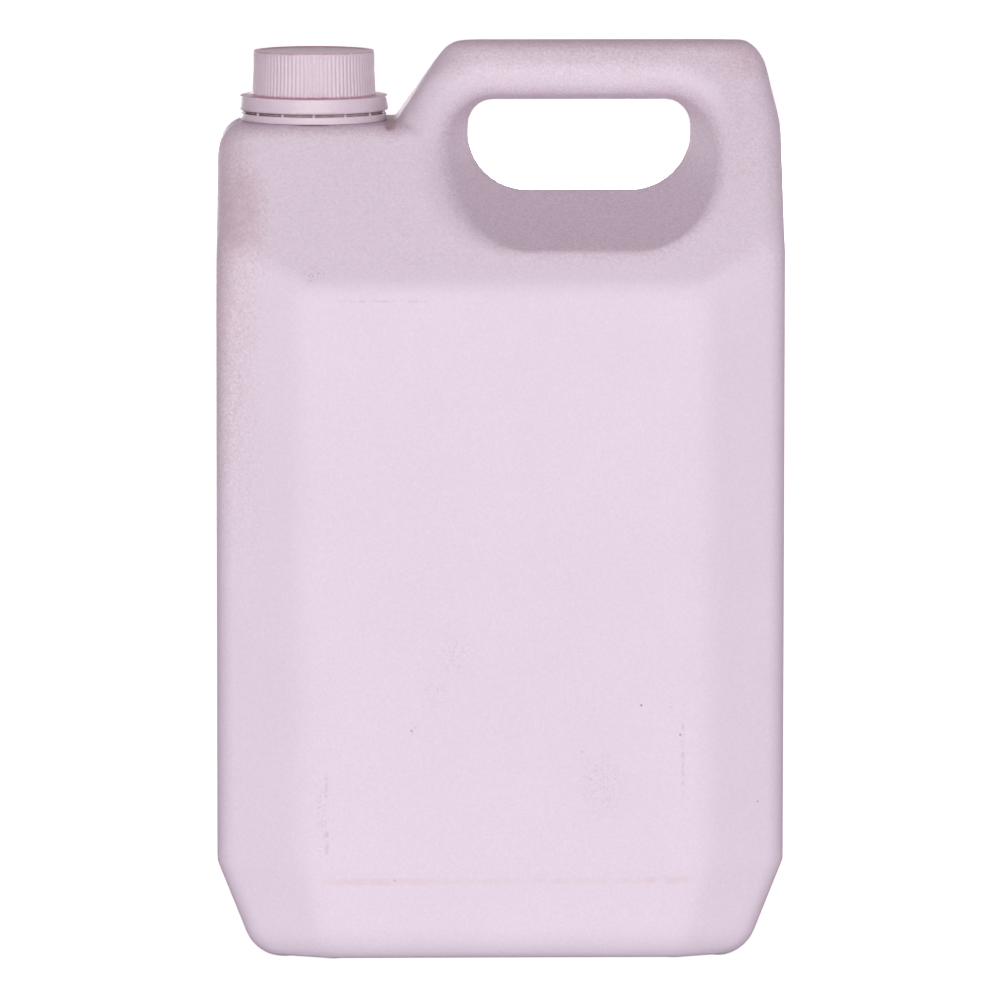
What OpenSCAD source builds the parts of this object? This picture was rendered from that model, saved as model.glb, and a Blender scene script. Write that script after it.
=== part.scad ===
// Five litre bleach jug: a blow-moulded body with a hollow handle, and a ribbed screw cap
// Width runs along X, depth along Y and height along Z, and the base stands on z = 0
// The two halves of the body mirror each other about the parting plane y = 0

/* [Body] */
// Width across the two sides
body_w = 190; // [182:1:205]
// Depth from front to back
body_d = 125; // [115:1:140]
// Height from the base to the top of the handle
body_h = 305.5; // [300:0.5:316]
// Wall thickness of the moulding
wall = 1.1; // [0.8:0.1:1.5]
// Radius of the rounded edges
edge_r = 9; // [7:0.5:10]
// Radius of the softer left shoulder under the neck
shoulder_r = 18; // [12:1:20]
// Height of the flat front and back panels
panel_h = 227; // [210:1:234]
// Width of the flat front and back panels
panel_w = 133; // [115:1:140]
// How much further in the upright faces are at their foot than at the shoulders
wall_draft = 0.2; // [0.1:0.05:0.5]
// Angle of the corner bevels, seen from above
bevel_angle = 22; // [14:1:28]

/* [Base] */
// Height at which the body starts to narrow towards its base
taper_h = 33; // [26:1:45]
// Inset of each side at the base
side_taper = 13; // [6:0.5:16]
// Inset of the front and of the back at the base
front_taper = 2.5; // [1:0.5:5]
// Inset of the bevels' inner edges at the base
bevel_taper = 8.5; // [4:0.5:12]
// Rise of the push-up inside the foot rim
push_h = 2.5; // [1:0.5:5]
// Share of its width that the push-up keeps at its top
push_share = 0.97; // [0.9:0.01:1]
// Width of the foot rim that the jug stands on
foot_w = 14; // [10:1:22]

/* [Handle] */
// Depth across the round top of the handle
handle_d = 28; // [24:1:34]
// Height of the bar above the finger hole
bar_h = 20; // [16:1:24]
// Width of the column between the finger hole and the right side
column_w = 30.1; // [26:0.1:34]
// Width of the finger hole at the parting plane
hole_w = 74.9; // [68:0.1:82]
// Height of the finger hole at the parting plane
hole_h = 30.6; // [29:0.1:33]
// Radius of the hole's upper corners
hole_top_r = 8.5; // [5:0.5:10]
// Radius of the hole's lower corners
hole_low_r = 20; // [12:0.5:20]
// Draft of the finger recess, opening outwards from the parting plane
recess_draft = 17; // [10:1:20]
// Lean of the handle's flank beside the neck, from upright
flank_lean = 34; // [26:1:38]
// Gap between the cap's flange and the foot of the flank
flank_gap = 2.2; // [1.5:0.1:5]
// Inset of the handle's top right corner from the side
corner_inset = 4; // [2:0.5:8]
// How far the handle's faces lie inside the shoulders that it rises from
handle_step = 0.35; // [0.2:0.05:0.6]

/* [Neck] */
// Distance from the left side to the axis of the neck
neck_inset = 33; // [31:0.5:35]
// Drop from the top of the handle to the seat of the neck
seat_drop = 26.9; // [24:0.1:32]
// Height of the neck's rim above its seat
neck_h = 20.8; // [19:0.1:23]
// Outer radius of the neck at the root of its thread
neck_r = 17.4; // [16.5:0.1:18]
// Wall thickness of the neck
neck_wall = 2; // [1.6:0.1:2.4]
// Radius of the collar at the foot of the neck
collar_r = 22; // [21:0.1:22.5]
// Radius of the bead that holds the tamper band down
bead_r = 23.2; // [22.8:0.1:23.4]
// Height of the bead's upper edge above the seat
bead_h = 3; // [2.9:0.1:3.4]
// Thickness of the bead where it leaves the collar
bead_t = 0.8; // [0.6:0.1:1]
// Chamfer round the neck's rim
rim_chamfer = 0.5; // [0.2:0.1:0.8]

/* [Cap] */
// Radius of the cap over its ribs
cap_r = 20.6; // [20.2:0.1:22]
// Wall thickness of the top of the cap and of its flange's shelf
cap_wall = 1.5; // [1.3:0.1:1.6]
// Wall thickness of the cap's skirt inside its ribs
skirt_wall = 1.2; // [1:0.1:1.4]
// Number of ribs round the cap
rib_count = 90; // [60:2:110]
// Depth of the grooves between the ribs
rib_depth = 0.4; // [0.2:0.05:0.5]
// Share of the ribs' pitch that the crest of each one takes
rib_crest = 0.4; // [0.2:0.05:0.6]
// Chamfer round the top of the cap
cap_chamfer = 0.7; // [0.4:0.1:1.2]
// Depth of the shallow dish in the top of the cap
dish_depth = 0.4; // [0.2:0.1:0.6]
// Width of the rim round the dish
dish_rim = 2.1; // [1.5:0.1:4]
// Outer radius of the cap's flange
flange_r = 25; // [24.8:0.1:26.5]
// Height of the cap's flange
flange_h = 5; // [4.6:0.1:5.6]

/* [Seal and tamper band] */
// Thickness of the foam wad that seals on the rim
wad_t = 1.2; // [0.8:0.1:1.6]
// Height of the tamper band
band_h = 2.5; // [2.2:0.1:2.7]
// How much smaller the tamper band is than the flange, on radius
band_step = 0.5; // [0.2:0.1:0.8]
// Height of the slit between the band and the flange
slit_h = 1; // [0.6:0.1:1.2]
// Rise of the band's hook towards the bead
hook_rise = 0.6; // [0.3:0.1:0.8]
// Number of snapped bridges on the band
bridge_count = 14; // [8:1:20]
// Width of each bridge
bridge_w = 0.9; // [0.5:0.1:1.5]
// How far the bridges stay inside the band's two faces
bridge_step = 0.1; // [0.05:0.05:0.2]

/* [Clearances] */
// Running gap between pieces that turn past each other
run_gap = 0.3; // [0.2:0.05:0.4]
// Gap at faces that seat on each other
seat_gap = 0.05; // [0.02:0.01:0.1]

/* [Hidden] */
jug_colour = [0.90, 0.85, 0.90];
cap_colour = [0.88, 0.82, 0.87];
wad_colour = [0.96, 0.96, 0.94];
round_fn = 96;
edge_fn = 32;
eps = 0.5;

// Centres of the edge rounding, all one edge radius inside the faces
side_x = body_w / 2 - edge_r;
front_y = body_d / 2 - edge_r;
panel_x = panel_w / 2 - edge_r * tan(bevel_angle / 2);
bevel_depth = (body_w - panel_w) / 2 * tan(bevel_angle);
corner_y = body_d / 2 - bevel_depth - edge_r * tan((90 - bevel_angle) / 2);
top_y = handle_d / 2 - edge_r;
top_z = body_h - edge_r;
shoulder_lean = atan((front_y - top_y) / (top_z - panel_h));
panel_z = panel_h - edge_r * tan(shoulder_lean / 2);
seat_z = body_h - seat_drop;

// Half depth of the rounding centres on the leaning shoulders
function shoulder_y(z) = front_y + (top_y - front_y) * (z - panel_z) / (top_z - panel_z);
// Height at which the shoulder's centres reach a half depth
function shoulder_z(y) = panel_z + (front_y - y) / (front_y - top_y) * (top_z - panel_z);

// Centres of the softer left shoulder, at its foot and at the seat
soft_step = (shoulder_r - edge_r) / cos(shoulder_lean);
soft_x = body_w / 2 - shoulder_r;
soft_foot_y = body_d / 2 - bevel_depth - shoulder_r * tan((90 - bevel_angle) / 2);
soft_foot_z = shoulder_z(soft_foot_y + soft_step);
soft_top_z = seat_z - shoulder_r;
soft_top_y = shoulder_y(soft_top_z) - soft_step;

// Narrowed ring of centres at the base
taper_z = taper_h + edge_r * tan(atan(side_taper / taper_h) / 2);
taper_left = 1 - edge_r / taper_h;
base_x = body_w / 2 - side_taper * taper_left - edge_r / cos(atan(side_taper / taper_h));
base_y = body_d / 2 - front_taper * taper_left - edge_r / cos(atan(front_taper / taper_h));
base_panel_x = panel_x - bevel_taper;
base_corner_y = base_y - (base_x - base_panel_x) * tan(bevel_angle);

// Places of the neck, the handle's flank and the finger hole
neck_x = -body_w / 2 + neck_inset;
flank_x = neck_x + flange_r + flank_gap;
hole_x = body_w / 2 - column_w - hole_w / 2;
hole_z = body_h - bar_h - hole_h / 2;

// Heights of the pieces stacked on the neck
rim_z = seat_z + neck_h;
wad_z = rim_z + seat_gap;
cap_ceiling_z = wad_z + wad_t + seat_gap;
cap_top_z = cap_ceiling_z + cap_wall;
band_z = seat_z + seat_gap;
flange_z = band_z + band_h + slit_h;
skirt_r = cap_r - rib_depth - skirt_wall;
flange_bore_r = bead_r + 2 * run_gap;
bridge_r = flange_r - band_step;

// Place of the rounding centres along the handle's flank
function flank_centre(z) = flank_x + (z - seat_z) * tan(flank_lean) + edge_r / cos(flank_lean);

// Rounds off the hull of a list of centres, mirrored about the parting plane
// A centre's fourth number, where it has one, is its own radius before the inset
module rounded(centres, inset) {
    hull()
        for (c = centres, side = [-1, 1])
            translate([c.x, side * c.y, c.z])
                sphere(((len(c) > 3 ? c[3] : edge_r) - inset) / cos(180 / edge_fn), $fn = edge_fn);
}

// Body up to the seat of the neck
module trunk(inset) {
    seat_c = seat_z - edge_r;
    both_sides = [for (s = [-1, 1]) each [
        [s * base_x, base_corner_y, edge_r],
        [s * base_panel_x, base_y, edge_r],
        [s * (side_x - wall_draft), corner_y - wall_draft, taper_z],
        [s * (panel_x - wall_draft), front_y - wall_draft, taper_z],
        [s * panel_x, front_y, panel_z]
    ]];
    left = [
        [-side_x, corner_y, panel_z - shoulder_r],
        [-soft_x, soft_foot_y, soft_foot_z, shoulder_r],
        [-soft_x, soft_top_y, soft_top_z, shoulder_r],
        [-side_x, soft_top_y / 2, seat_c]
    ];
    right = [
        [side_x, corner_y, shoulder_z(corner_y)],
        [side_x, shoulder_y(seat_c), seat_c]
    ];
    rounded(concat(both_sides, left, right), inset);
}

// Handle, rising out of the right of the shoulders
module handle(inset) {
    foot_c = shoulder_z(corner_y);
    seat_c = seat_z - edge_r;
    top_c = top_z + handle_step;
    rounded([
        [flank_centre(foot_c), corner_y, foot_c],
        [side_x, corner_y, foot_c],
        [side_x, shoulder_y(seat_c), seat_c],
        [flank_centre(top_c), top_y, top_c],
        [side_x - corner_inset, top_y, top_c]
    ], inset + handle_step);
}

// Points of a quarter circle that starts at an angle
function quarter(centre, r, start) =
    [for (i = [0 : edge_fn / 4]) centre + r * [cos(start + 360 * i / edge_fn), sin(start + 360 * i / edge_fn)]];

// Outline of the finger hole at the parting plane, about its own centre
module hole_outline(grow) {
    top = [hole_w / 2 - hole_top_r, hole_h / 2 - hole_top_r];
    low = [hole_w / 2 - hole_low_r, hole_low_r - hole_h / 2];
    polygon(concat(
        quarter(top, hole_top_r + grow, 0),
        quarter([-top.x, top.y], hole_top_r + grow, 90),
        quarter([-low.x, low.y], hole_low_r + grow, 180),
        quarter(low, hole_low_r + grow, 270)
    ));
}

// Finger hole and the recesses that open out of it to the front and the back
module finger_hole(grow) {
    depth = body_d / 2 + eps;
    flare = 2 * depth * tan(recess_draft);
    spread = [1 + flare / (hole_w + 2 * grow), 1 + flare / (hole_h + 2 * grow)];
    for (turn = [0, 180])
        translate([hole_x, 0, hole_z])
            rotate([90, 0, turn])
                translate([0, 0, -eps / 10])
                    linear_extrude(depth, scale = spread, slices = 1)
                        hole_outline(grow);
}

// Shallow push-up inside the foot rim
module push_up(grow) {
    rim_x = base_x + edge_r * tan(45 - atan(side_taper / taper_h) / 2) - foot_w;
    rim_y = base_y - foot_w / 2;
    translate([0, 0, -eps])
        linear_extrude(push_h + grow + eps, scale = push_share)
            offset(r = edge_r + grow, $fn = edge_fn)
                square([2 * (rim_x - edge_r), 2 * (rim_y - edge_r)], center = true);
}

// Outer form of the body, or its cavity when it is inset by the wall
module form(inset) {
    difference() {
        union() {
            trunk(inset);
            handle(inset);
        }
        finger_hole(inset);
        push_up(inset);
    }
}

// Neck, bead and collar, drawn as a half section about the neck's axis
module neck() {
    rotate_extrude($fn = round_fn)
        polygon([
            [0, -wall / 2],
            [collar_r, -wall / 2],
            [collar_r, bead_h - bead_t],
            [bead_r, bead_h - bead_t / 2],
            [bead_r, bead_h],
            [neck_r, bead_h + (bead_r - neck_r) / 2],
            [neck_r, neck_h - rim_chamfer],
            [neck_r - rim_chamfer, neck_h],
            [0, neck_h]
        ]);
}

// Bore of the neck, which widens under the bead into the body
module neck_bore() {
    bore_r = neck_r - neck_wall;
    throat_r = collar_r - neck_wall;
    rotate_extrude($fn = round_fn)
        polygon([
            [0, -2 * wall],
            [throat_r, -2 * wall],
            [throat_r, bead_h],
            [bore_r, bead_h + (throat_r - bore_r) / 2],
            [bore_r, neck_h + eps],
            [0, neck_h + eps]
        ]);
}

// Blow-moulded body with its handle and neck, one hollow piece
module jug_body() {
    color(jug_colour)
        difference() {
            union() {
                form(0);
                translate([neck_x, 0, seat_z]) neck();
            }
            form(wall);
            translate([neck_x, 0, seat_z]) neck_bore();
        }
}

// Outline of the ribbed skirt, with a V groove between each two ribs
module rib_outline() {
    step = 360 / rib_count;
    flank = (1 - rib_crest) / 2;
    polygon([for (i = [0 : rib_count - 1], p = [[0, rib_depth], [flank, 0], [1 - flank, 0]])
        let (r = cap_r - p[1], a = step * (i + p[0]))
            r * [cos(a), sin(a)]]);
}

// Screw cap: a ribbed skirt over a plain flange, open below
module cap() {
    skirt_h = cap_top_z - flange_z;
    color(cap_colour)
        translate([neck_x, 0, 0])
            difference() {
                union() {
                    translate([0, 0, flange_z]) cylinder(r = flange_r, h = flange_h, $fn = round_fn);
                    intersection() {
                        translate([0, 0, flange_z + flange_h - eps])
                            linear_extrude(skirt_h - flange_h + eps) rib_outline();
                        translate([0, 0, flange_z])
                            rotate_extrude($fn = round_fn)
                                polygon([
                                    [0, 0],
                                    [cap_r + eps, 0],
                                    [cap_r + eps, skirt_h - cap_chamfer - eps],
                                    [cap_r - cap_chamfer, skirt_h],
                                    [0, skirt_h]
                                ]);
                    }
                }
                translate([0, 0, flange_z - eps])
                    cylinder(r = flange_bore_r, h = flange_h - cap_wall + eps, $fn = round_fn);
                translate([0, 0, flange_z])
                    cylinder(r = skirt_r, h = cap_ceiling_z - flange_z, $fn = round_fn);
                translate([0, 0, cap_top_z - dish_depth])
                    cylinder(r = cap_r - dish_rim, h = dish_depth + eps, $fn = round_fn);
            }
}

// Tamper band, left on the neck under the bead, with its snapped bridges
module tamper_band() {
    hook_r = collar_r + run_gap;
    hook_z = bead_h - bead_t - run_gap;
    bridge_in = bead_r + run_gap + bridge_step;
    color(cap_colour)
        translate([neck_x, 0, band_z]) {
            rotate_extrude($fn = round_fn)
                polygon([
                    [hook_r, 0],
                    [bridge_r, 0],
                    [bridge_r, band_h],
                    [bead_r + run_gap, band_h],
                    [bead_r + run_gap, hook_z],
                    [hook_r, hook_z - hook_rise]
                ]);
            for (i = [0 : bridge_count - 1])
                rotate([0, 0, 360 / bridge_count * i - 90])
                    translate([bridge_in, -bridge_w / 2, band_h - bridge_step])
                        cube([bridge_r - bridge_step - bridge_in, bridge_w, slit_h + bridge_step - seat_gap]);
        }
}

// Foam wad that lies in the top of the cap and seals on the rim
module seal_wad() {
    color(wad_colour)
        translate([neck_x, 0, wad_z]) cylinder(r = skirt_r - run_gap, h = wad_t, $fn = round_fn);
}

jug_body();
cap();
tamper_band();
seal_wad();
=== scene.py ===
import bpy
import math
import numpy as np
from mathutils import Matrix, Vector


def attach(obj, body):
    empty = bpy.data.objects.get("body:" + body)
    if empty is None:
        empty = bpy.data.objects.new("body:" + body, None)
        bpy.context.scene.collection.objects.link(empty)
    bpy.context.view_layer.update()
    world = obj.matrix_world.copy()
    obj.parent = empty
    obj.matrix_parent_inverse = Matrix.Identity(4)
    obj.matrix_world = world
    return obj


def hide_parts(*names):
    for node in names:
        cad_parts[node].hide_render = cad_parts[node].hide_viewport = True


# bleach jug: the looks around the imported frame
# shapes are worked out in millimetres and turned into metres when a mesh is made

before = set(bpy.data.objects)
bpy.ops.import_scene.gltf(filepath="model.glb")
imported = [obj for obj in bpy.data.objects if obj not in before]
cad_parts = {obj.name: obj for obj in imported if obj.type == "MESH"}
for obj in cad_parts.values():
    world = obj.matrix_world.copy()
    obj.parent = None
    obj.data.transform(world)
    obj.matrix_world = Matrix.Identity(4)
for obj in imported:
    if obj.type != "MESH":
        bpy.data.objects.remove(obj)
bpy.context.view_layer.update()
mm = 0.001
wallT = 1.1
neckX = -62.0
seatZ = 278.6


# mesh helpers

def makeObject(name, points, faces):
    mesh = bpy.data.meshes.new(name)
    mesh.from_pydata((points * mm).tolist(), [], [tuple(int(i) for i in f) for f in faces])
    mesh.validate(clean_customdata=False)
    mesh.shade_smooth()
    mesh.update()
    obj = bpy.data.objects.new(name, mesh)
    bpy.context.scene.collection.objects.link(obj)
    return obj


# profile is a list of (radius, height), and a radius of 0 at an end closes it with a fan
def lathe(profile, steps, centre, wobble=None):
    angles = np.arange(steps) * 2 * math.pi / steps
    points, rings = [], []
    for r, z in profile:
        if r == 0:
            rings.append([len(points)])
            points.append([centre[0], centre[1], z])
            continue
        radius = np.full(steps, float(r)) if wobble is None else wobble(r, z, angles)
        rings.append(list(range(len(points), len(points) + steps)))
        points.extend(np.column_stack([centre[0] + radius * np.cos(angles),
                                       centre[1] + radius * np.sin(angles),
                                       np.full(steps, float(z))]).tolist())
    faces = []
    for a, b in zip(rings, rings[1:]):
        for i in range(steps):
            j = (i + 1) % steps
            if len(a) == 1:
                faces.append((a[0], b[j], b[i]))
            elif len(b) == 1:
                faces.append((a[i], a[j], b[0]))
            else:
                faces.append((a[i], a[j], b[j], b[i]))
    return np.array(points), faces


# signed distance fields: each is (value, gradient) at an array of points

def flat(p, normal, through):
    n = np.array(normal, float)
    n = n / np.linalg.norm(n)
    return (p - np.array(through, float)) @ n, np.broadcast_to(n, p.shape)


def neg(a):
    return -a[0], -a[1]


# where both fields are inside, with the edge between them rounded to the radius r
def meet(a, b, r):
    (va, ga), (vb, gb) = a, b
    c = np.clip((ga * gb).sum(1), -0.98, 0.995)
    u, w = va + r, vb + r
    corner = (u > c * w) & (w > c * u)
    span = 1 - c * c
    d = np.sqrt(np.maximum((u * u + w * w - 2 * u * w * c) / span, 1e-12))
    wa = np.where(corner, (u - c * w) / (span * d), va > vb)
    wb = np.where(corner, (w - c * u) / (span * d), va <= vb)
    value = np.where(corner, d - r, np.maximum(va, vb))
    grad = ga * wa[:, None] + gb * wb[:, None]
    return value, grad


def join(a, b, r):
    return neg(meet(neg(a), neg(b), r))


def cut(a, b, r):
    return meet(a, neg(b), r)


# body of the jug

body = dict(
    halfW=95.0, halfD=62.5, height=305.5,
    panelX=(-65.6, 68.0), bevel=22.0,   # left and right edges of the flat panel, and the bevels' angle
    panelZ=227.0, lean=34.9,            # where the shoulders start, and how far they lean in
    edgeR=9.0, creaseR=14.0, bevelR=27.0,
    softR=17.0, softZ=(215.0, 250.0),   # the left edge's rounding up the shoulder
    taperZ=33.0, sideTaper=13.0, frontTaper=2.5, bevelTaper=8.5, footR=5.0, baseR=14.0,
    sideLean=(0.002, 0.0),              # how much the left and right sides lean in
    # rounding of the trunk's left end and the handle's right end at the top
    topEndR=(11.5, 13.0), topEndX=(-70.0, 72.0), topEndSpan=(20.0, 10.0),
    flankX=-34.8, flankLean=34.0, flankR=16.0, valleyR=3.5,
    cornerZ=277.5, cornerLean=13.0, cornerR=45.0,
    holeX=27.45, holeZ=270.2, holeW=74.9, holeH=30.6, holeTopR=8.5, holeLowR=20.0,
    draft=17.0, crest=1.2,              # slope of the hole's bank, and the rounding where the banks meet
    recessR=(4.0, 8.5), recessZ=(243.0, 262.0),   # rounding of the recess's edge at its foot and top
    recessEnd=(12.0, 0.0), endX=(14.0, 2.0), endZ=(262.0, 277.0),   # and what its two ends add
    pushX=64.0, pushY=42.0, pushH=2.5, pushR=1.6, pushCornerR=9.0, pushCrest=1.0,
    cell=2.05, innerCell=3.4, far=500.0)


# 0 to 1 as a value goes through a span
def rise(value, start, end):
    return np.clip((value - start) / (end - start), 0, 1)


def holeField(p):
    b = body
    x, z = p[:, 0] - b["holeX"], p[:, 2] - b["holeZ"]
    best = None
    for r, up in ((b["holeTopR"], 1), (b["holeLowR"], -1)):
        qx = np.abs(x) - (b["holeW"] / 2 - r)
        qz = up * z - (b["holeH"] / 2 - r)
        out = (qx > 0) & (qz > 0)
        size = np.sqrt(qx * qx + qz * qz) + 1e-9
        gx = np.where(out, qx / size, qx > qz) * np.sign(x)
        gz = np.where(out, qz / size, qx <= qz) * up
        d = np.where(out, size, np.maximum(qx, qz)) - r
        if best is None:
            best = d, gx, gz
        else:
            pick = d > best[0]
            best = (np.where(pick, d, best[0]), np.where(pick, gx, best[1]), np.where(pick, gz, best[2]))
    t = math.radians(b["draft"])
    deep = np.sqrt(p[:, 1] ** 2 + b["crest"] ** 2)
    d = (best[0] - (deep - b["crest"]) * math.tan(t)) * math.cos(t)
    grad = np.column_stack([best[1] * math.cos(t), -p[:, 1] / deep * math.sin(t), best[2] * math.cos(t)])
    return d, grad


def pushField(p):
    b = body
    r = b["pushCornerR"]
    qx, qy = np.abs(p[:, 0]) - b["pushX"] + r, np.abs(p[:, 1]) - b["pushY"] + r
    out = (qx > 0) & (qy > 0)
    size = np.sqrt(qx * qx + qy * qy) + 1e-9
    d = np.where(out, size, np.maximum(qx, qy)) - r
    gx = np.where(out, qx / size, qx > qy) * np.sign(p[:, 0])
    gy = np.where(out, qy / size, qx <= qy) * np.sign(p[:, 1])
    walls = d, np.column_stack([gx, gy, np.zeros(len(d))])
    return meet(walls, flat(p, (0, 0, 1), (0, 0, b["pushH"])), b["pushCrest"])


def bodyField(p):
    b = body
    sx, sy = np.where(p[:, 0] < 0, -1.0, 1.0), np.where(p[:, 1] < 0, -1.0, 1.0)
    panel = np.where(sx < 0, -b["panelX"][0], b["panelX"][1])
    q = np.column_stack([np.abs(p[:, 0]) - panel, np.abs(p[:, 1]), p[:, 2]])
    side = np.column_stack([np.abs(p[:, 0]), np.abs(p[:, 1]), p[:, 2]])
    bt = math.radians(b["bevel"])
    tz = b["taperZ"]
    along = np.array([math.cos(bt), -math.sin(bt), 0.0])
    down = np.array([b["bevelTaper"], b["frontTaper"], tz])
    footN = np.cross(along, down)
    footN = footN if footN[1] > 0 else -footN
    lt = math.radians(b["lean"])
    shoulder = flat(side, (0, math.cos(lt), math.sin(lt)), (0, b["halfD"], b["panelZ"]))
    front = meet(flat(q, (0, 1, 0), (0, b["halfD"], 0)),
                 flat(q, (math.sin(bt), math.cos(bt), 0), (0, b["halfD"], 0)), b["bevelR"])
    front = meet(front, shoulder, b["creaseR"])
    foot = meet(flat(q, (0, tz, -b["frontTaper"]), (0, b["halfD"], tz)),
                flat(q, footN, (0, b["halfD"], tz)), b["creaseR"])
    front = meet(front, foot, b["creaseR"])
    left, right = (flat(side, (1, 0, k), (b["halfW"], 0, tz)) for k in b["sideLean"])
    ends = meet((np.where(sx < 0, left[0], right[0]), np.where(sx[:, None] < 0, left[1], right[1])),
                flat(side, (tz, 0, -b["sideTaper"]), (b["halfW"], 0, tz)), b["footR"])
    ct = math.radians(b["cornerLean"])
    lean, leanN = flat(side, (math.cos(ct), 0, math.sin(ct)), (b["halfW"], 0, b["cornerZ"]))
    ends = meet(ends, (np.where(sx < 0, -b["far"], lean), leanN), b["cornerR"])
    soft = rise(p[:, 2], *b["softZ"]) * (sx < 0)
    core = meet(front, ends, b["edgeR"] + (b["softR"] - b["edgeR"]) * soft)
    core = meet(core, flat(side, (0, 0, -1), (0, 0, 0)), b["baseR"])
    # back to signed x and y
    core = core[0], core[1] * np.column_stack([sx, sy, np.ones(len(sx))])
    endR = [b["edgeR"] + (b["topEndR"][i] - b["edgeR"])
            * np.clip((way * (p[:, 0] - b["topEndX"][i])) / b["topEndSpan"][i], 0, 1) for i, way in ((0, -1), (1, 1))]
    trunk = meet(core, flat(p, (0, 0, 1), (0, 0, seatZ)), endR[0])
    ft = math.radians(b["flankLean"])
    handle = meet(core, flat(p, (-math.cos(ft), 0, math.sin(ft)), (b["flankX"], 0, seatZ)), b["flankR"])
    handle = meet(handle, flat(p, (0, 0, 1), (0, 0, b["height"])), endR[1])
    whole = join(trunk, handle, b["valleyR"])
    up = rise(p[:, 2], *b["recessZ"])
    off = np.clip((np.abs(p[:, 0] - b["holeX"]) - b["holeW"] / 2 + b["endX"][0]) / sum(b["endX"]), 0, 1)
    low = 1 - rise(p[:, 2], *b["endZ"])
    off = off * low * np.where(p[:, 0] < b["holeX"], b["recessEnd"][0], b["recessEnd"][1])
    whole = cut(whole, holeField(p), b["recessR"][0] + (b["recessR"][1] - b["recessR"][0]) * up + off)
    return cut(whole, pushField(p), b["pushR"])


# quads where the field is at the level, with their corners drawn onto the surface
def surfaceNet(field, low, high, cell, level):
    axes = [np.arange(low[i] - 0.37 * cell, high[i] + 2 * cell, cell) for i in range(3)]
    shape = tuple(len(a) for a in axes)
    grid = np.stack(np.meshgrid(*axes, indexing="ij"), -1).reshape(-1, 3)
    value = np.concatenate([field(part)[0] for part in np.array_split(grid, 12)]) + level
    value = value.reshape(shape)
    inside = value < 0
    n = [s - 1 for s in shape]
    count = np.zeros(n, int)
    for i in (0, 1):
        for j in (0, 1):
            for k in (0, 1):
                count += inside[i:i + n[0], j:j + n[1], k:k + n[2]]
    active = (count > 0) & (count < 8)
    number = np.full(n, -1)
    number[active] = np.arange(active.sum())
    cells = np.argwhere(active)
    points = np.column_stack([axes[i][cells[:, i]] + cell / 2 for i in range(3)])
    faces = []
    for axis in range(3):
        u, w = (axis + 1) % 3, (axis + 2) % 3
        first = [slice(None)] * 3
        second = [slice(None)] * 3
        first[axis], second[axis] = slice(0, -1), slice(1, None)
        differ = inside[tuple(first)] != inside[tuple(second)]
        where = np.argwhere(differ)
        where = where[(where[:, u] > 0) & (where[:, w] > 0) & (where[:, u] < n[u]) & (where[:, w] < n[w])]
        out = inside[tuple(first)][tuple(where.T)]
        quad = []
        for du, dw in ((1, 1), (0, 1), (0, 0), (1, 0)):
            at = where.copy()
            at[:, u] -= du
            at[:, w] -= dw
            quad.append(number[tuple(at.T)])
        quad = np.column_stack(quad)
        quad[~out] = quad[~out][:, ::-1]
        faces.append(quad)
    faces = np.concatenate(faces)
    for _ in range(5):
        v, g = field(points)
        points = points - (np.clip(v + level, -cell, cell))[:, None] * g
    _, g = field(points)
    normals = g / np.maximum(np.linalg.norm(g, axis=1), 1e-9)[:, None]
    return points, faces, normals


# opens the shell round the neck's axis, with a clean round edge
def openNeck(points, faces, normals, radius, below):
    away = points[:, :2] - np.array([neckX, 0.0])
    dist = np.linalg.norm(away, axis=1)
    near = (dist < radius) & (points[:, 2] > seatZ - below)
    keep = ~near[faces].all(1)
    faces = faces[keep]
    push = near & np.isin(np.arange(len(points)), faces)
    points[push, :2] = np.array([neckX, 0.0]) + away[push] * (radius / np.maximum(dist[push], 1e-6))[:, None]
    used = np.unique(faces)
    remap = np.full(len(points), -1)
    remap[used] = np.arange(len(used))
    return points[used], remap[faces], normals[used]


neck = dict(rimZ=seatZ + 20.8, rootR=17.4, boreR=15.4, collarR=22.0, throatR=20.0, beadR=23.2, beadZ=3.0, steps=128,
            crestR=18.45, pitch=4.2, ridge=1.5, startZ=seatZ + 7.4, endZ=seatZ + 18.0,
            flank=0.7, fade=0.6,                          # how soon the thread rises across and along itself
            openR=(21.0, 20.6), openDepth=(5.0, 7.0))     # where the neck enters the outer and inner shell


# how far a single thread rises, 0 to 1, at a height and at an array of angles
def threadRise(z, angles, low, high, ridge, pitch, phase):
    turn = (z - low) / pitch - angles / (2 * math.pi) - phase
    off = np.abs(turn - np.round(turn)) * pitch
    up = np.clip((ridge / 2 + neck["flank"] / 2 - off) / neck["flank"], 0, 1)
    centre = np.round(turn)
    along = (centre + angles / (2 * math.pi) + phase) * pitch + low   # height of the ridge's middle here
    fade = rise(along, low, low + neck["fade"]) * rise(along, high, high - neck["fade"])
    return up * up * (3 - 2 * up) * fade


def neckWobble(r, z, angles):
    n = neck
    if abs(r - n["rootR"]) > 0.01:
        return np.full(len(angles), float(r))
    up = threadRise(z, angles, n["startZ"], n["endZ"], n["ridge"], n["pitch"], 0.0)
    return r + (n["crestR"] - n["rootR"]) * up


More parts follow.
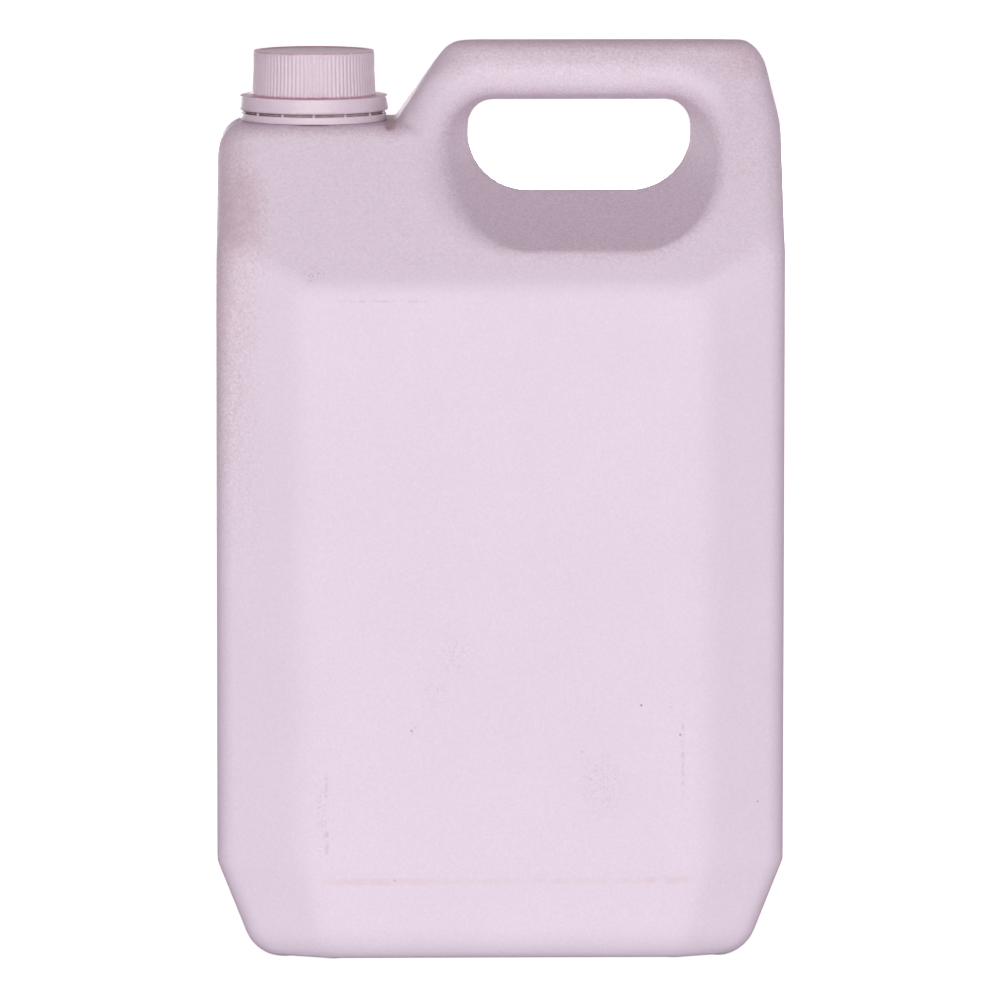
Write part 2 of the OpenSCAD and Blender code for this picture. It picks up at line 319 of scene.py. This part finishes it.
def buildJug():
    b, n = body, neck
    low, high = (-b["halfW"], -b["halfD"], 0), (b["halfW"], b["halfD"], b["height"])
    outer = openNeck(*surfaceNet(bodyField, low, high, b["cell"], 0.0), n["openR"][0], n["openDepth"][0])
    inner = openNeck(*surfaceNet(bodyField, low, high, b["innerCell"], wallT), n["openR"][1], n["openDepth"][1])
    print("shells:", len(outer[1]), "and", len(inner[1]), "faces")
    throat, collar, bead, root, bore = (n[k] for k in ("throatR", "collarR", "beadR", "rootR", "boreR"))
    foot, rim = seatZ - wallT - 0.9, n["rimZ"]
    beadTop = n["beadZ"] + seatZ
    cone = beadTop + (bead - root) / 2
    # up the outside, over the rim and down the bore
    profile = [(throat, foot), (collar, seatZ - 0.6), (collar, seatZ + 2.2), (collar + 0.3, seatZ + 2.3),
               (bead - 0.2, seatZ + 2.55), (bead, seatZ + 2.7), (bead, beadTop - 0.1), (bead - 0.2, beadTop + 0.1),
               (root + 0.5, cone - 0.2), (root, cone + 0.3)]
    profile += [(root, z) for z in np.arange(cone + 0.65, rim - 0.6, 0.35)]
    profile += [(root, rim - 0.6), (root - 0.15, rim - 0.2), (root - 0.5, rim), (bore + 0.4, rim),
                (bore + 0.1, rim - 0.1), (bore, rim - 0.4), (bore, seatZ + 5.3), (bore + 0.5, seatZ + 5.0),
                (throat - 0.4, seatZ + 3.2), (throat, seatZ + 2.8), (throat, foot)]
    ring, ringFaces = lathe(profile, n["steps"], (neckX, 0), neckWobble)
    points = np.clip(np.concatenate([outer[0], inner[0], ring]), low, high)
    shift = len(outer[0]), len(outer[0]) + len(inner[0])
    faces = [tuple(f) for f in outer[1]] + [tuple(f[::-1] + shift[0]) for f in inner[1]]
    faces += [tuple(i + shift[1] for i in f) for f in ringFaces]
    jug = makeObject("jugBody", points, faces)
    mesh = jug.data
    normals = np.zeros(len(points) * 3, np.float32)
    mesh.vertices.foreach_get("normal", normals)
    normals = normals.reshape(-1, 3)
    normals[:shift[0]] = outer[2]
    normals[shift[0]:shift[1]] = -inner[2]
    mesh.normals_split_custom_set_from_vertices(normals.tolist())
    # the grime attribute holds dirt together with painted shade in the recess, the creases, under the band and up the
    # left rounding
    grimeAndShade = mesh.attributes.new("grimeAndShade", "FLOAT", "POINT")
    grimeAndShade.data.foreach_set("value", grimeAndShadeAt(points).astype(np.float32))
    return jug


# dirt and painted shade on the body: shares are 0 to 1, and each span is from where it starts to where it is full
grimeAndShade = dict(
    # recess: painted shade on the hole's banks, within reach mm of them
    recess=0.3, reach=2.5,
    # bands darken from the shoulder up, more on the handle; on the handle's upward-facing top it is painted shade
    # with dirt
    bands=[(229.0, 235.0, 0.1), (288.0, 298.0, 0.28), (299.5, 305.0, 0.75)],   # shoulder, handle, its top
    # column darkens the right edge beside the hole; left is painted shade up the left edge's rounding, with dirt
    column=((68.0, 78.0), (245.0, 265.0), 0.2), left=((-78.0, -92.0), (130.0, 210.0), 0.55),
    # topEdge: painted shadow along the trunk's top edge under the band
    topEdge=(-38.0, (seatZ - 7, seatZ - 1), 0.45),
    # seat: painted shade round the neck's foot under the band
    seat=(25.0, 5.0, seatZ - 5, 0.75),                          # ring round the neck: radius, width, lowest, share
    # slit: painted shade on the neck's bead, seen through the band's slit
    slit=((20.5, 22.5), 23.9, (seatZ - 0.7, seatZ + 6)),        # behind the band
    # handle's corner (dirt and painted shade); left edge, dark patch on the left rounding and the valley beside the
    # neck (painted shade); as x, z, half width, half height, share and most
    spots=[(83.0, 299.0, 14.0, 9.0, 0.9, 0.9), (-86.0, 237.0, 13.0, 9.0, 0.5, 0.5),
           (-87.0, 250.0, 12.0, 24.0, 1.3, 0.82), (-36.5, seatZ + 0.5, 7.0, 7.0, 1.4, 1.0)])


def grimeAndShadeAt(points):
    g = grimeAndShade
    x, z = points[:, 0], points[:, 2]
    ring = np.hypot(x - neckX, points[:, 1])
    layers = [np.clip(g["reach"] - np.abs(holeField(points)[0]), 0, 1) * g["recess"]]
    layers += [rise(z, start, full) * share for start, full, share in g["bands"]]
    layers += [rise(x, *spanX) * rise(z, *spanZ) * share for spanX, spanZ, share in (g["column"], g["left"])]
    endX, spanZ, share = g["topEdge"]
    layers.append(rise(z, *spanZ) * (x < endX) * share)
    radius, width, lowest, share = g["seat"]
    layers.append(np.clip(1 - np.abs(ring - radius) / width, 0, 1) * (z > lowest) * share)
    spanR, widest, (low, high) = g["slit"]
    layers.append(rise(ring, *spanR) * (ring < widest) * (z > low) * (z < high))
    for sx, sz, halfW, halfH, share, most in g["spots"]:
        layers.append(np.clip(share * (1 - np.hypot((x - sx) / halfW, (z - sz) / halfH)), 0, most))
    return np.clip(np.maximum.reduce(layers), 0, 1)


# cap, tamper band and wad

cap = dict(ribR=20.4, grooveR=20.17, lowR=20.9, ribs=90, steps=720, crestShare=0.75, ribTop=0.8,
           flangeR=25.0, flangeZ=seatZ + 3.55, flangeH=5.0, shelfR=23.8,
           topZ=seatZ + 23.6, ceilingZ=seatZ + 22.1, dish=0.4, dishR=18.2,
           boreR=19.0, crestR=18.0, ridge=1.1, threadZ=seatZ + 8.3, threadH=8.0)


def capWobble(r, z, angles):
    c = cap
    flangeTop = c["flangeZ"] + c["flangeH"]
    if flangeTop - 0.3 < z < c["topZ"] - c["ribTop"] and c["ribR"] - 0.3 < r < c["lowR"] + 0.1:
        phase = angles * c["ribs"] / (2 * math.pi)
        off = np.abs(phase - np.round(phase)) * 2   # 0 at a groove, 1 on a crest
        crest = np.clip(off / c["crestShare"], 0, 1)
        crest = crest * crest * (3 - 2 * crest)
        return r - (1 - crest) * (c["ribR"] - c["grooveR"])
    if abs(r - c["boreR"]) < 0.01:
        low = c["threadZ"]
        phase = 0.5 + (neck["startZ"] - low) / neck["pitch"]   # midway between the neck's turns
        up = threadRise(z, angles, low, low + c["threadH"], c["ridge"], neck["pitch"], phase)
        return r - (c["boreR"] - c["crestR"]) * up
    return np.full(len(angles), float(r))


def buildCap():
    c = cap
    fz, ft, tz = c["flangeZ"], c["flangeZ"] + c["flangeH"], c["topZ"]
    rib, low, flange, shelf, bore, dish = (c[k] for k in ("ribR", "lowR", "flangeR", "shelfR", "boreR", "dishR"))
    # from the middle of the top, down the skirt, round the flange and up the inside
    profile = [(0, tz - c["dish"]), (dish, tz - c["dish"]), (dish + 0.3, tz - 0.3), (dish + 0.6, tz - 0.05),
               (dish + 0.8, tz), (dish + 1.4, tz), (rib - 0.3, tz), (rib - 0.1, tz - 0.1), (rib, tz - 0.35),
               (rib, tz - 0.6)]
    for z in np.linspace(tz - 1.0, ft + 0.35, 6):
        t = (tz - z) / (tz - ft)
        profile.append((rib + (low - rib) * t * t, z))
    profile += [(low + 0.08, ft + 0.12), (low + 0.5, ft), (flange - 0.4, ft), (flange - 0.2, ft - 0.06),
                (flange - 0.1, ft - 0.25), (flange - 0.08, ft - 0.6), (flange, fz + 0.9), (flange - 0.02, fz + 0.5),
                (flange - 0.25, fz + 0.1), (flange - 0.5, fz), (shelf + 0.2, fz), (shelf, fz + 0.2),
                (shelf, ft - 1.7), (shelf - 0.2, ft - 1.5), (bore + 0.3, ft - 1.5), (bore, ft - 1.2)]
    profile += [(bore, z) for z in np.arange(ft - 0.9, seatZ + 17.8, 0.4)]
    profile += [(bore, c["ceilingZ"]), (0, c["ceilingZ"])]
    points, faces = lathe(profile, c["steps"], (neckX, 0), capWobble)
    return makeObject("screwCap", points, [f[::-1] for f in faces])


band = dict(z=seatZ + 0.05, outR=24.5, inR=23.5, hookR=22.3, h=2.5, hookZ=(1.25, 1.85), steps=192,
            bridges=14, bridgeW=0.9, bridgeR=(23.62, 24.4), slit=1.0)


def buildBand():
    b = band
    z, top, outR, inR, hookR = b["z"], b["z"] + b["h"], b["outR"], b["inR"], b["hookR"]
    profile = [(hookR, z), (outR - 0.3, z), (outR - 0.08, z + 0.08), (outR, z + 0.3), (outR, top - 0.3),
               (outR - 0.08, top - 0.08), (outR - 0.3, top), (inR, top), (inR, z + b["hookZ"][1]),
               (hookR, z + b["hookZ"][0]), (hookR, z)]
    points, faces = lathe(profile, b["steps"], (neckX, 0))
    faces = [f[::-1] for f in faces]
    points = points.tolist()
    near, far = b["bridgeR"]
    for i in range(b["bridges"]):
        a = 2 * math.pi * i / b["bridges"] - math.pi / 2
        out, across = np.array([math.cos(a), math.sin(a)]), np.array([-math.sin(a), math.cos(a)])
        start = len(points)
        for zz in (top - 0.1, top + b["slit"] - 0.06):
            for r, s in ((near, -1), (far, -1), (far, 1), (near, 1)):
                xy = np.array([neckX, 0]) + out * r + across * s * b["bridgeW"] / 2
                points.append([xy[0], xy[1], zz])
        for f in ((0, 3, 2, 1), (4, 5, 6, 7), (0, 1, 5, 4), (1, 2, 6, 5), (2, 3, 7, 6), (3, 0, 4, 7)):
            faces.append(tuple(start + i for i in f))
    return makeObject("tamperBand", np.array(points), faces)


wad = dict(low=neck["rimZ"] + 0.05, high=neck["rimZ"] + 1.25, r=18.7, edge=(0.3, 0.2), steps=96)


def buildWad():
    low, high, r = wad["low"], wad["high"], wad["r"]
    inset, drop = wad["edge"]
    profile = [(0, low), (r - inset, low), (r, low + drop), (r, high - drop), (r - inset, high), (0, high)]
    points, faces = lathe(profile, wad["steps"], (neckX, 0))
    return makeObject("foamWad", points, faces)


# materials

# the dirt and crust colours serve for dirt and for painted shade on the jug, and the cap's dirt colour for dirt and
# painted shade on the cap
look = dict(lilac=(0.80, 0.735, 0.81, 1), cap=(0.735, 0.665, 0.73, 1), capDirtAndShade=(0.50, 0.20, 0.26, 1),
            dirtAndShade=(0.58, 0.40, 0.42, 1), soot=(0.16, 0.10, 0.13, 1), rust=(0.62, 0.36, 0.26, 1),
            crustAndShade=(0.30, 0.17, 0.17, 1), foam=(0.9, 0.9, 0.88, 1),
            roughness=0.55, specular=0.3, capRoughness=0.42, foamRoughness=0.8,
            grain=0.08, grainWithGrimeAndShade=12.0, grainMost=0.3, mottle=0.025, grimeAndShadeShare=0.6)


# small helper for building a material's nodes
class Tree:

    def __init__(self, name):
        self.material = bpy.data.materials.new(name)
        self.material.use_nodes = True
        self.nodes = self.material.node_tree.nodes
        self.links = self.material.node_tree.links
        self.shader = self.nodes["Principled BSDF"]
        self.position = self.nodes.new("ShaderNodeTexCoord").outputs["Object"]

    def plug(self, socket, value):
        if isinstance(value, bpy.types.NodeSocket):
            self.links.new(value, socket)
        else:
            socket.default_value = value

    def math(self, operation, a, b=0.0, clamp=False):
        node = self.nodes.new("ShaderNodeMath")
        node.operation = operation
        node.use_clamp = clamp
        self.plug(node.inputs[0], a)
        self.plug(node.inputs[1], b)
        return node.outputs[0]

    def noise(self, scale, detail=2.0, roughness=0.5):
        node = self.nodes.new("ShaderNodeTexNoise")
        self.plug(node.inputs["Vector"], self.position)
        node.inputs["Scale"].default_value = scale
        node.inputs["Detail"].default_value = detail
        node.inputs["Roughness"].default_value = roughness
        return node.outputs["Fac"]

    def ramp(self, value, low, high):
        node = self.nodes.new("ShaderNodeMapRange")
        node.interpolation_type = "SMOOTHSTEP"
        self.plug(node.inputs["Value"], value)
        node.inputs["From Min"].default_value = low
        node.inputs["From Max"].default_value = high
        return node.outputs["Result"]

    def mix(self, share, a, b):
        node = self.nodes.new("ShaderNodeMix")
        node.data_type = "RGBA"
        self.plug(node.inputs["Factor"], share)
        self.plug(node.inputs["A"], a)
        self.plug(node.inputs["B"], b)
        return node.outputs["Result"]

    def axes(self):
        node = self.nodes.new("ShaderNodeSeparateXYZ")
        self.links.new(self.position, node.inputs[0])
        return node.outputs

    def attribute(self, name):
        node = self.nodes.new("ShaderNodeAttribute")
        node.attribute_name = name
        return node.outputs["Fac"]

    def bump(self, height, strength, distance):
        node = self.nodes.new("ShaderNodeBump")
        node.inputs["Strength"].default_value = strength
        node.inputs["Distance"].default_value = distance
        self.links.new(height, node.inputs["Height"])
        self.links.new(node.outputs["Normal"], self.shader.inputs["Normal"])


# the colour with its slow mottle and fine grain
def plainTone(t, colour):
    slow = t.math("MULTIPLY", t.math("SUBTRACT", t.noise(28, 3), 0.5), look["mottle"] * 2)
    fine = t.math("MULTIPLY", t.math("SUBTRACT", t.noise(1100, 2, 0.7), 0.5), look["grain"] * 2)
    # fine grain grows where the grime attribute's dirt and painted shade lie
    grimeAndShadeGrain = t.math("MULTIPLY", t.math("MINIMUM", t.attribute("grimeAndShade"), look["grainMost"]), look["grainWithGrimeAndShade"])
    fine = t.math("MULTIPLY", fine, t.math("ADD", grimeAndShadeGrain, 1.0))
    tone = t.math("ADD", t.math("ADD", slow, fine), 1.0)
    node = t.nodes.new("ShaderNodeVectorMath")
    node.operation = "SCALE"
    node.inputs[0].default_value = colour[:3]
    t.links.new(tone, node.inputs["Scale"])
    return node.outputs[0]


# marks on the front, as the middle x, middle z, half width and half height in mm, and strength
strokes = [(-58.2, 50.0, 0.7, 17.0, 0.4), (60.6, 70.5, 0.6, 16.0, 0.35), (-39.5, 223.0, 17.0, 0.5, 0.3)]
# stained lines along the foot's crease, in the same order
stains = [(0.0, 28.3, 63.0, 1.4, 0.09), (-43.0, 28.3, 19.0, 1.6, 0.1), (56.0, 28.5, 8.0, 1.6, 0.14)]
# specks, as x, z, radius in mm and strength
specks = [(46.7, 87.7, 0.36, 0.9), (59.7, 77.7, 0.34, 0.9), (-29.8, 79.2, 0.5, 0.4), (27.0, 72.0, 0.35, 0.35),
          (-35.5, 28.6, 0.5, 0.25), (86.0, 54.0, 0.4, 0.4), (-28.5, 80.4, 0.3, 0.35), (56.5, 87.0, 0.3, 0.3)]
# rubbed patches, as x, z, half width, half height in mm and strength
rubs = [(-15.0, 105.0, 9.0, 13.0, 0.12), (34.0, 61.0, 11.0, 15.0, 0.16), (-22.0, 92.0, 8.0, 8.0, 0.1),
        (-62.0, 231.0, 5.0, 4.0, 0.3), (-60.0, 50.0, 2.5, 17.0, 0.2)]


def jugPlastic():
    t = Tree("jugPlastic")
    colour = plainTone(t, look["lilac"])
    # the grime attribute's dirt and painted shade, mixed in patchily
    patchy = t.ramp(t.noise(260, 5, 0.7), 0.35, 0.65)
    share = t.math("MULTIPLY", t.attribute("grimeAndShade"), t.math("ADD", t.math("MULTIPLY", patchy, 0.4), 0.6))
    share = t.math("MULTIPLY", share, look["grimeAndShadeShare"], True)
    colour = t.mix(share, colour, look["dirtAndShade"])
    # a dark crust where the attribute is strongest: painted shade in the slit, the valley and the left rounding, and
    # dirt with painted shade at the handle's corner
    crustAndShadeShare = t.math("ADD", t.math("MULTIPLY", patchy, 0.4), 0.4)
    crustAndShadeShare = t.math("MULTIPLY", t.ramp(t.attribute("grimeAndShade"), 0.8, 1.0), crustAndShadeShare)
    colour = t.mix(crustAndShadeShare, colour, look["crustAndShade"])
    x, y, z = t.axes()
    facing = t.math("LESS_THAN", y, -0.02)
    broken = t.ramp(t.noise(420, 3, 0.7), 0.42, 0.62)
    spotty = t.ramp(t.noise(1300, 2, 0.7), 0.5, 0.66)
    streaky = t.ramp(t.noise(180, 4, 0.6), 0.3, 0.6)
    lines = [(mark, broken, look["dirtAndShade"]) for mark in strokes] + [(mark, streaky, look["rust"]) for mark in stains]
    for (mx, mz, hw, hh, strength), pattern, tint in lines:
        dx = t.math("DIVIDE", t.math("ABSOLUTE", t.math("SUBTRACT", x, mx * mm)), hw * mm)
        dz = t.math("DIVIDE", t.math("ABSOLUTE", t.math("SUBTRACT", z, mz * mm)), hh * mm)
        inside = t.math("MULTIPLY", t.ramp(dx, 1.05, 0.7), t.ramp(dz, 1.2, 0.3))
        inside = t.math("MULTIPLY", t.math("MULTIPLY", inside, pattern), t.math("MULTIPLY", facing, strength))
        colour = t.mix(inside, colour, tint)
    for mx, mz, hw, hh, strength in rubs:
        dx = t.math("DIVIDE", t.math("SUBTRACT", x, mx * mm), hw * mm)
        dz = t.math("DIVIDE", t.math("SUBTRACT", z, mz * mm), hh * mm)
        away = t.math("SQRT", t.math("ADD", t.math("MULTIPLY", dx, dx), t.math("MULTIPLY", dz, dz)))
        inside = t.math("MULTIPLY", t.ramp(away, 1.0, 0.2), spotty)
        inside = t.math("MULTIPLY", inside, t.math("MULTIPLY", facing, strength))
        colour = t.mix(inside, colour, look["soot"])
    for mx, mz, r, strength in specks:
        dx, dz = t.math("SUBTRACT", x, mx * mm), t.math("SUBTRACT", z, mz * mm)
        away = t.math("SQRT", t.math("ADD", t.math("MULTIPLY", dx, dx), t.math("MULTIPLY", dz, dz)))
        inside = t.math("MULTIPLY", t.ramp(away, r * 1.2 * mm, r * 0.5 * mm), t.math("MULTIPLY", facing, strength))
        colour = t.mix(inside, colour, look["soot"])
    t.plug(t.shader.inputs["Base Color"], colour)
    t.shader.inputs["Roughness"].default_value = look["roughness"]
    t.shader.inputs["Specular IOR Level"].default_value = look["specular"]
    seam = t.ramp(t.math("ABSOLUTE", y), 0.0006, 0.0001)
    height = t.math("ADD", t.math("MULTIPLY", t.noise(900, 3, 0.6), 0.5), t.math("MULTIPLY", seam, 1.2))
    t.bump(height, 0.25, 0.0003)
    return t.material


def capPlastic():
    t = Tree("capPlastic")
    colour = plainTone(t, look["cap"])
    x, y, z = t.axes()
    topZ, flangeZ = cap["topZ"], cap["flangeZ"]
    flangeTop = flangeZ + cap["flangeH"]
    # the top takes the darker colour: painted shade on the cap's upward-facing top, with dirt
    top = t.ramp(z, (topZ - 0.9) * mm, (topZ - 0.2) * mm)
    skirt = t.math("SUBTRACT", 1.0, t.ramp(z, (flangeTop + 0.6) * mm, (flangeTop - 0.3) * mm))
    patchy = t.ramp(t.noise(300, 5, 0.7), 0.3, 0.7)
    # ledge: painted shade in the crease where the flange's top meets the skirt
    ledgeShade = t.ramp(z, (flangeTop - 0.25) * mm, (flangeTop - 0.02) * mm)
    ledgeShade = t.math("MULTIPLY", ledgeShade, t.ramp(z, (flangeTop + 0.9) * mm, (flangeTop + 0.2) * mm))
    # under: painted shadow on the flange's underside, above the band
    underShadow = t.ramp(t.math("ABSOLUTE", t.math("SUBTRACT", z, (flangeZ - 0.3) * mm)), 0.38 * mm, 0.2 * mm)
    share = t.math("MAXIMUM", t.math("MULTIPLY", top, 0.75), t.math("MULTIPLY", skirt, 0.14))
    creaseShade = t.math("MULTIPLY", t.math("MAXIMUM", ledgeShade, underShadow), 0.85)
    share = t.math("MAXIMUM", t.math("MAXIMUM", share, 0.09), creaseShade)
    share = t.math("MULTIPLY", share, t.math("ADD", t.math("MULTIPLY", patchy, 0.5), 0.5))
    colour = t.mix(share, colour, look["capDirtAndShade"])
    t.plug(t.shader.inputs["Base Color"], colour)
    t.shader.inputs["Roughness"].default_value = look["capRoughness"]
    return t.material


def wadFoam():
    t = Tree("wadFoam")
    t.shader.inputs["Base Color"].default_value = look["foam"]
    t.shader.inputs["Roughness"].default_value = look["foamRoughness"]
    t.bump(t.noise(1500, 2), 0.3, 0.0002)
    return t.material


# pieces

jugMaterial, capMaterial, wadMaterial = jugPlastic(), capPlastic(), wadFoam()
for build, node, rides, slot, material in (
        (buildJug, "jug_body", "jug", "jug_plastic", jugMaterial),
        (buildCap, "cap", "screw_cap", "cap_plastic", capMaterial),
        (buildBand, "tamper_band", "jug", "cap_plastic", capMaterial),
        (buildWad, "seal_wad", "wad", "wad_foam", wadMaterial)):
    piece = build()
    piece.data.materials.append(material)
    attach(piece, rides)
    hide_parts(node)
    print(piece.name, "faces", len(piece.data.polygons))


# studio

stage = dict(floor=0.86, floorSize=30.0, glow=0.8, sky=0.345, skyTint=(1.0, 0.76, 0.92),
             key=108.0, back=80.0, keySize=(3.2, 0.44), keyAt=(-0.1, -3.3, 0.23),
             keyTilt=52.0)   # degrees downwards, so that the light fades up the jug


def buildStage():
    s = stage
    bpy.ops.mesh.primitive_plane_add(size=s["floorSize"], location=(0, 0, 0))
    floor = bpy.context.object
    floor.name = "floor"
    material = bpy.data.materials.new("floorPaint")
    material.use_nodes = True
    nodes, links = material.node_tree.nodes, material.node_tree.links
    shader = nodes["Principled BSDF"]
    shader.inputs["Base Color"].default_value = (s["floor"],) * 3 + (1,)
    shader.inputs["Roughness"].default_value = 0.9
    shader.inputs["Specular IOR Level"].default_value = 0.0
    path = nodes.new("ShaderNodeLightPath")
    glow = nodes.new("ShaderNodeMath")
    glow.operation = "MULTIPLY"
    glow.inputs[1].default_value = s["glow"]
    links.new(path.outputs["Is Camera Ray"], glow.inputs[0])
    shader.inputs["Emission Color"].default_value = (1, 1, 1, 1)
    links.new(glow.outputs[0], shader.inputs["Emission Strength"])
    floor.data.materials.append(material)
    world = bpy.data.worlds.new("studioSky")
    bpy.context.scene.world = world
    world.use_nodes = True
    nodes, links = world.node_tree.nodes, world.node_tree.links
    sky = nodes["Background"]
    tint = nodes.new("ShaderNodeMix")
    tint.data_type = "RGBA"
    tint.inputs["A"].default_value = s["skyTint"] + (1,)
    tint.inputs["B"].default_value = (1, 1, 1, 1)
    links.new(tint.outputs["Result"], sky.inputs["Color"])
    path = nodes.new("ShaderNodeLightPath")
    seen = nodes.new("ShaderNodeMath")
    seen.operation = "MAXIMUM"
    links.new(path.outputs["Is Camera Ray"], seen.inputs[0])
    links.new(path.outputs["Is Glossy Ray"], seen.inputs[1])
    level = nodes.new("ShaderNodeMapRange")
    level.inputs["To Min"].default_value = s["sky"]
    level.inputs["To Max"].default_value = 1.0
    links.new(seen.outputs[0], level.inputs["Value"])
    links.new(seen.outputs[0], tint.inputs["Factor"])
    links.new(level.outputs["Result"], sky.inputs["Strength"])
    x, y, z = s["keyAt"]
    for name, power, size, at, turn in (("keyLight", s["key"], s["keySize"], (x, y, z), 0),
                                        ("backLight", s["back"], s["keySize"], (x, -y, z), math.pi)):
        light = bpy.data.lights.new(name, "AREA")
        light.energy, light.shape, light.size, light.size_y = power, "RECTANGLE", size[0], size[1]
        lamp = bpy.data.objects.new(name, light)
        lamp.location = at
        lamp.rotation_euler = (math.radians(90 - s["keyTilt"]), 0, turn)
        bpy.context.scene.collection.objects.link(lamp)


view = dict(at=(-0.05, -2.72, 0.485), aim=(0.0008, 0.0, 0.149), lens=100.0, sensor=12.4)


def buildCamera():
    data = bpy.data.cameras.new("viewCamera")
    data.lens = view["lens"]
    data.sensor_width = view["sensor"]
    camera = bpy.data.objects.new("viewCamera", data)
    camera.location = view["at"]
    camera.rotation_euler = (Vector(view["aim"]) - Vector(view["at"])).to_track_quat("-Z", "Y").to_euler()
    bpy.context.scene.collection.objects.link(camera)
    bpy.context.scene.camera = camera


buildStage()
buildCamera()
bpy.context.scene.view_settings.view_transform = "Standard"
